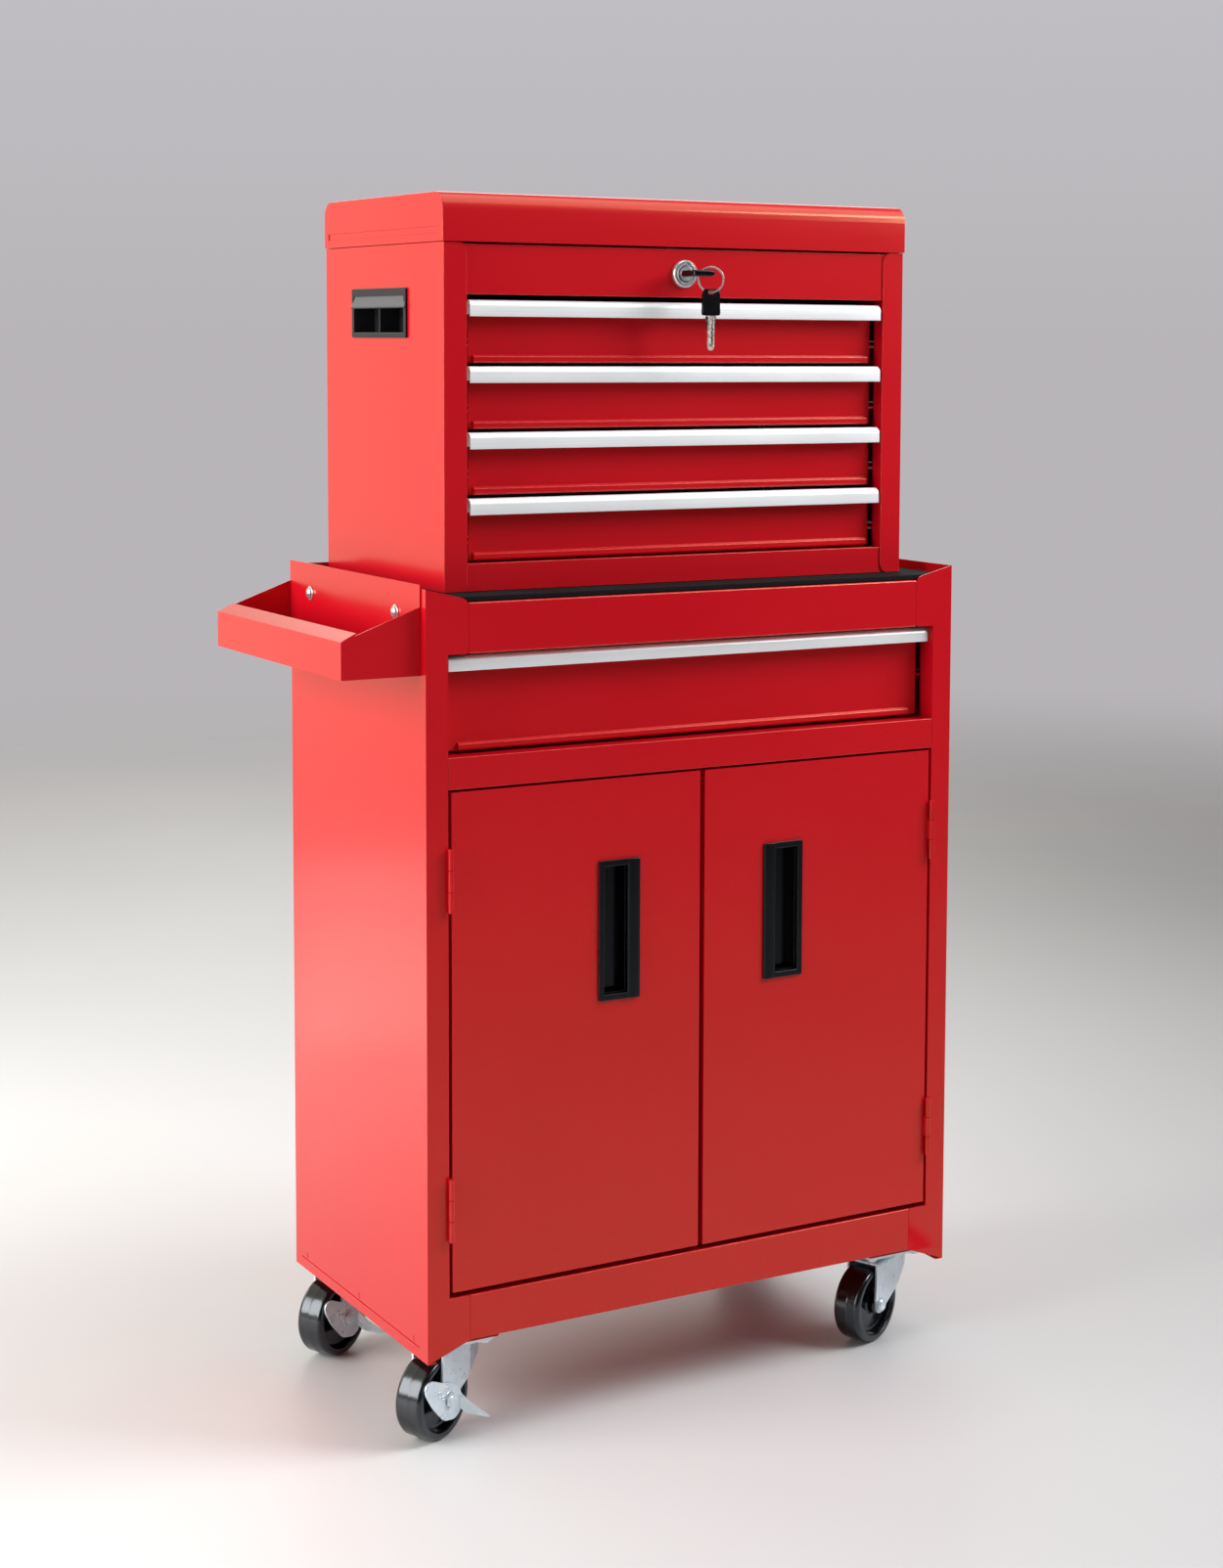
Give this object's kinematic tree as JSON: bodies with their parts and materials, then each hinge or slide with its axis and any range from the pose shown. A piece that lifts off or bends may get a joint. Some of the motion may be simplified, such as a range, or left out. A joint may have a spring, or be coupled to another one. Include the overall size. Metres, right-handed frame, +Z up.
{
  "type": "tool cart",
  "caption": "Red steel tool cart: top chest with drawers and lift-up lid on a rolling cabinet with a wide drawer, doors and side tray.",
  "frame": {"origin": "middle of the bottom of the bounding box, on the floor between the wheels", "axes": "+X to the right seen from the front, +Y to the back, +Z up"},
  "size_m": [0.6124, 0.304, 1.0782],
  "materials": {
    "red_paint": "smooth semi-gloss powder coat",
    "pull_aluminium": "satin",
    "zinc_plate": "bright zinc plate",
    "chrome": "polished",
    "black_plastic": "fine satin",
    "wheel_plastic": "gloss",
    "mat": "matt",
    "magnet": "matt"
  },
  "bodies": {
    "cart": {"cabinet_side_left": "red_paint", "cabinet_side_right": "red_paint", "cabinet_back": "red_paint", "cabinet_deck": "red_paint", "cabinet_shelf": "red_paint", "cabinet_base": "red_paint", "side_tray": "red_paint", "chest_wrap": "red_paint", "chest_floor": "red_paint", "lock_panel": "red_paint", "till_floor": "red_paint", "chest_rails_left": "zinc_plate", "chest_rails_right": "zinc_plate", "lid_hinge_fixed_leaf": "zinc_plate", "lid_hinge_pin": "zinc_plate", "tray_bolt_front": "chrome", "tray_bolt_rear": "chrome", "lock_barrel": "chrome", "chest_handle_left": "black_plastic", "chest_handle_right": "black_plastic", "deck_mat": "mat", "door_catch": "magnet", "caster_front_left_plate": "zinc_plate", "caster_front_right_plate": "zinc_plate", "caster_rear_left_plate": "zinc_plate", "caster_rear_right_plate": "zinc_plate"},
    "lid": {"lid": "red_paint", "lid_hinge_moving_leaf": "zinc_plate"},
    "drawer_1": {"drawer_1_box": "red_paint", "drawer_1_pull": "pull_aluminium"},
    "drawer_2": {"drawer_2_box": "red_paint", "drawer_2_pull": "pull_aluminium"},
    "drawer_3": {"drawer_3_box": "red_paint", "drawer_3_pull": "pull_aluminium"},
    "drawer_4": {"drawer_4_box": "red_paint", "drawer_4_pull": "pull_aluminium"},
    "wide_drawer": {"wide_drawer_box": "red_paint", "wide_drawer_pull": "pull_aluminium"},
    "door_left": {"door_left": "red_paint", "door_pull_left": "black_plastic"},
    "door_right": {"door_right": "red_paint", "door_pull_right": "black_plastic"},
    "lock": {"lock_plug": "chrome", "key": "black_plastic"},
    "ring": {"key_ring": "chrome"},
    "spare": {"spare_key": "black_plastic"},
    "fork_front_left": {"caster_front_left_fork": "zinc_plate", "caster_front_left_axle": "zinc_plate"},
    "wheel_front_left": {"caster_front_left_wheel": "wheel_plastic"},
    "brake_front_left": {"caster_front_left_brake": "zinc_plate"},
    "fork_front_right": {"caster_front_right_fork": "zinc_plate", "caster_front_right_axle": "zinc_plate"},
    "wheel_front_right": {"caster_front_right_wheel": "wheel_plastic"},
    "fork_rear_left": {"caster_rear_left_fork": "zinc_plate", "caster_rear_left_axle": "zinc_plate"},
    "wheel_rear_left": {"caster_rear_left_wheel": "wheel_plastic"},
    "brake_rear_left": {"caster_rear_left_brake": "zinc_plate"},
    "fork_rear_right": {"caster_rear_right_fork": "zinc_plate", "caster_rear_right_axle": "zinc_plate"},
    "wheel_rear_right": {"caster_rear_right_wheel": "wheel_plastic"}
  },
  "joints": [
    {"name": "lid_hinge", "type": "hinge", "parent": "cart", "child": "lid", "pos_m": [0.0362, 0.1494, 1.036], "axis": [-1, 0, 0], "range_deg": [0, 90]},
    {"name": "drawer_1_slide", "type": "slide", "parent": "cart", "child": "drawer_1", "axis": [0, -1, 0], "range_m": [0, 0.175]},
    {"name": "drawer_2_slide", "type": "slide", "parent": "cart", "child": "drawer_2", "axis": [0, -1, 0], "range_m": [0, 0.175]},
    {"name": "drawer_3_slide", "type": "slide", "parent": "cart", "child": "drawer_3", "axis": [0, -1, 0], "range_m": [0, 0.175]},
    {"name": "drawer_4_slide", "type": "slide", "parent": "cart", "child": "drawer_4", "axis": [0, -1, 0], "range_m": [0, 0.175]},
    {"name": "wide_drawer_slide", "type": "slide", "parent": "cart", "child": "wide_drawer", "axis": [0, -1, 0], "range_m": [0, 0.21]},
    {"name": "door_left_hinge", "type": "hinge", "parent": "cart", "child": "door_left", "pos_m": [-0.2124, -0.1492, 0.3547], "axis": [0, 0, -1], "range_deg": [0, 110]},
    {"name": "door_right_hinge", "type": "hinge", "parent": "cart", "child": "door_right", "pos_m": [0.2848, -0.1492, 0.3547], "axis": [0, 0, 1], "range_deg": [0, 110]},
    {"name": "lock_turn", "type": "hinge", "parent": "cart", "child": "lock", "pos_m": [0.0362, -0.11, 1.0125], "axis": [0, 1, 0], "range_deg": [0, 90]},
    {"name": "ring_swing", "type": "hinge", "parent": "lock", "child": "ring", "pos_m": [0.0362, -0.1388, 1.0125], "axis": [0.8589, -0.5121, 0], "range_deg": [-20, 20]},
    {"name": "spare_key_swing", "type": "hinge", "parent": "ring", "child": "spare", "pos_m": [0.04342, -0.1431, 0.996], "axis": [0.9842, 0.1771, 0], "range_deg": [-12, 12]},
    {"name": "swivel_front_left", "type": "hinge", "parent": "cart", "child": "fork_front_left", "pos_m": [-0.1923, -0.101, 0.08], "axis": [0, 0, 1], "continuous": true},
    {"name": "roll_front_left", "type": "hinge", "parent": "fork_front_left", "child": "wheel_front_left", "pos_m": [-0.21515, -0.11341, 0.0365], "axis": [0.4771, -0.8788, 0], "continuous": true},
    {"name": "brake_front_left", "type": "hinge", "parent": "fork_front_left", "child": "brake_front_left", "pos_m": [-0.21515, -0.11341, 0.0365], "axis": [-0.4771, 0.8788, 0], "range_deg": [0, 20]},
    {"name": "swivel_front_right", "type": "hinge", "parent": "cart", "child": "fork_front_right", "pos_m": [0.2647, -0.101, 0.08], "axis": [0, 0, 1], "continuous": true},
    {"name": "roll_front_right", "type": "hinge", "parent": "fork_front_right", "child": "wheel_front_right", "pos_m": [0.24095, -0.11158, 0.0365], "axis": [0.4068, -0.9135, 0], "continuous": true},
    {"name": "swivel_rear_left", "type": "hinge", "parent": "cart", "child": "fork_rear_left", "pos_m": [-0.1923, 0.122, 0.08], "axis": [0, 0, 1], "continuous": true},
    {"name": "roll_rear_left", "type": "hinge", "parent": "fork_rear_left", "child": "wheel_rear_left", "pos_m": [-0.21504, 0.1094, 0.0365], "axis": [0.4848, -0.8746, 0], "continuous": true},
    {"name": "brake_rear_left", "type": "hinge", "parent": "fork_rear_left", "child": "brake_rear_left", "pos_m": [-0.21504, 0.1094, 0.0365], "axis": [-0.4848, 0.8746, 0], "range_deg": [0, 20]},
    {"name": "swivel_rear_right", "type": "hinge", "parent": "cart", "child": "fork_rear_right", "pos_m": [0.2647, 0.122, 0.08], "axis": [0, 0, 1], "continuous": true},
    {"name": "roll_rear_right", "type": "hinge", "parent": "fork_rear_right", "child": "wheel_rear_right", "pos_m": [0.24133, 0.1106, 0.0365], "axis": [0.4384, -0.8988, 0], "continuous": true}
  ]
}
